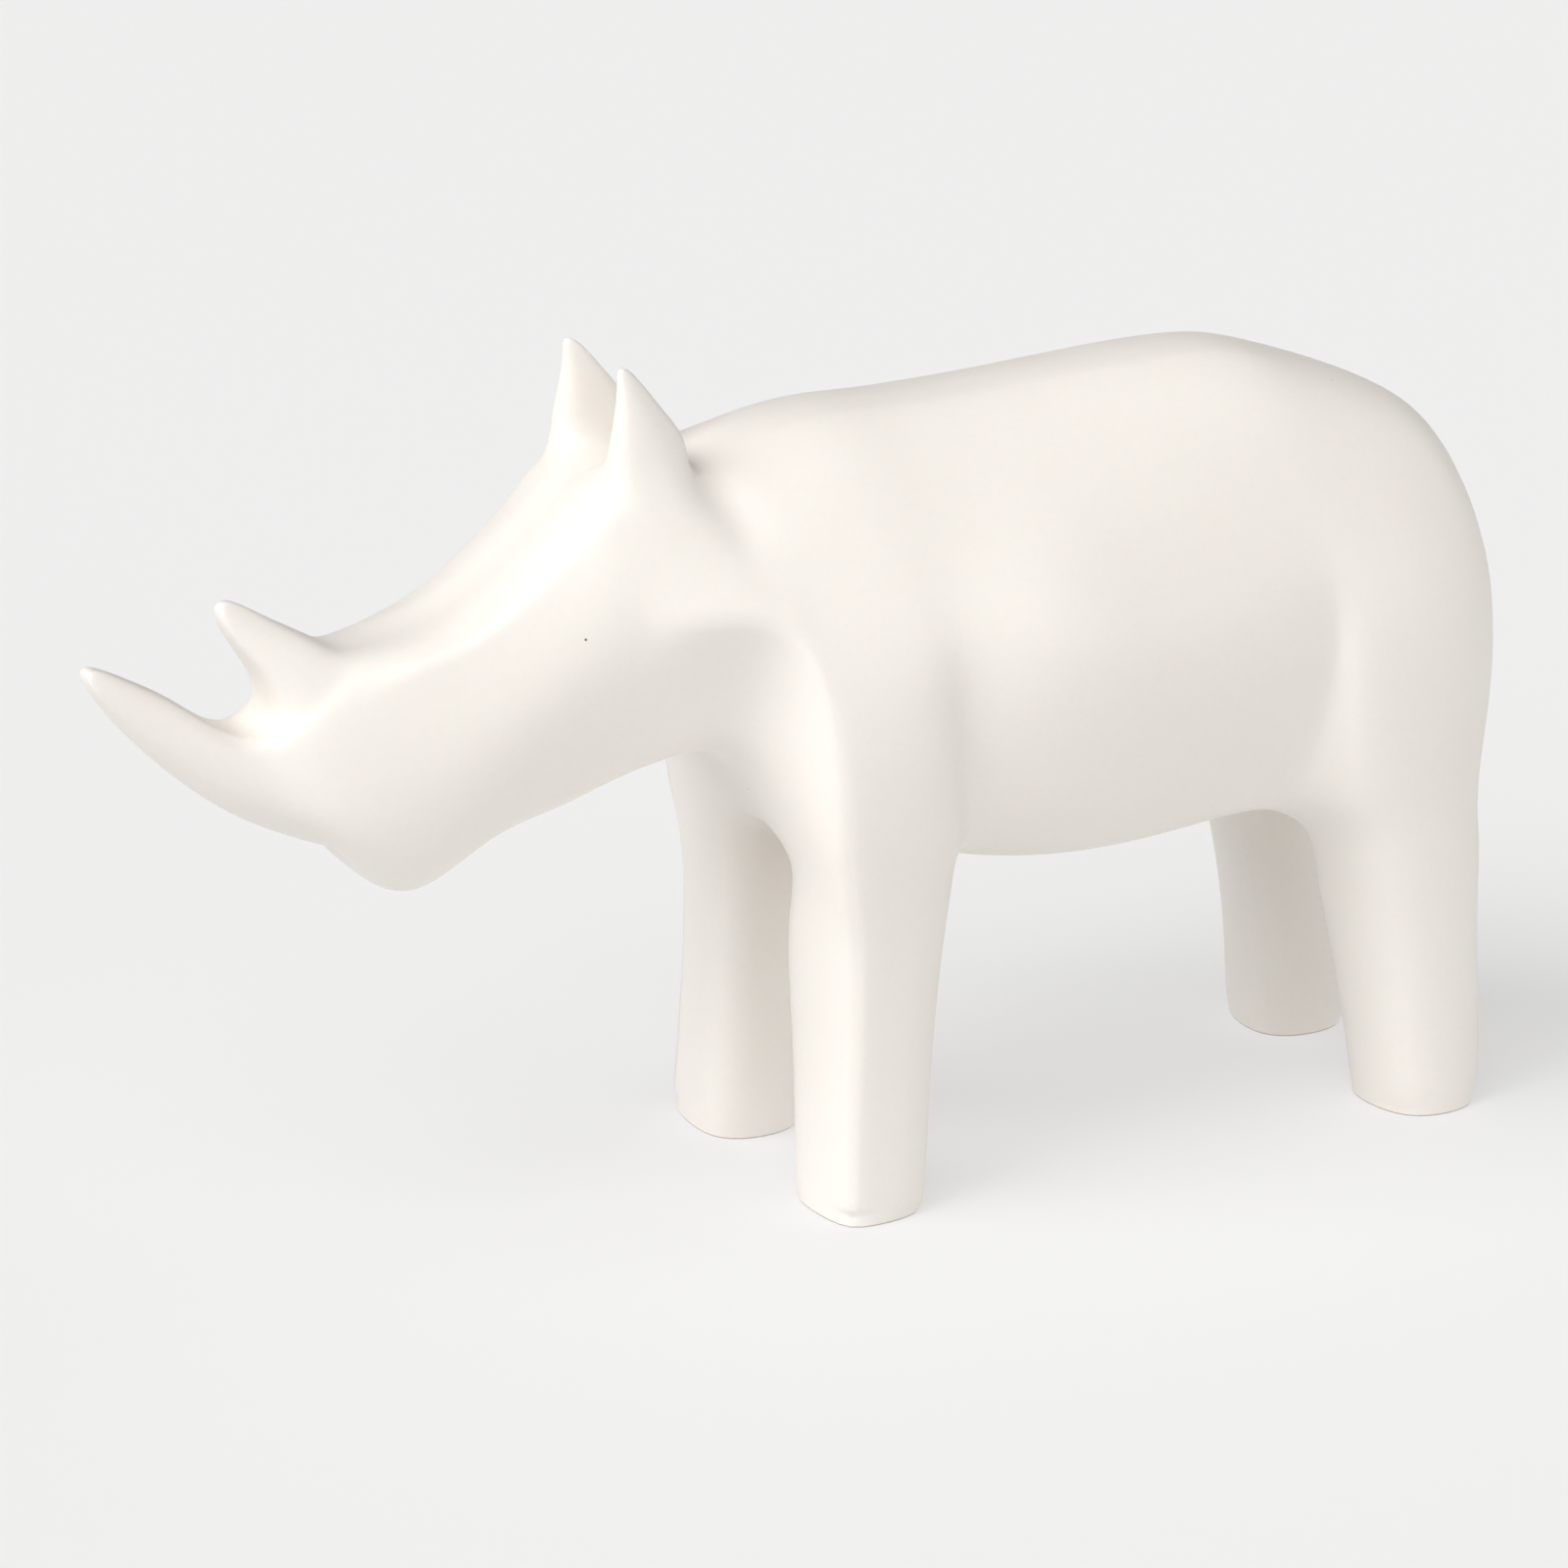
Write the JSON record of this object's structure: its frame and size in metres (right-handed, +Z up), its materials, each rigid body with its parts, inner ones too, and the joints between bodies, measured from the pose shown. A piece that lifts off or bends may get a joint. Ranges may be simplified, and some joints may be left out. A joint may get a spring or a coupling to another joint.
{
  "type": "rhinoceros figurine",
  "caption": "Smooth stylised rhinoceros in satin white ceramic, standing on flat feet, with upswept horns and pricked ears.",
  "frame": {"origin": "on the floor, under the middle of the figurine's bounding box", "axes": "+Z up, -X towards the tip of the front horn, -Y out of the animal's left flank; the figurine is the same on both sides of the plane Y = 0"},
  "size_m": [0.3322, 0.1002, 0.193],
  "materials": {
    "glaze": "satin warm white glaze"
  },
  "bodies": {
    "root": {"rhinoceros": "glaze"}
  },
  "joints": []
}
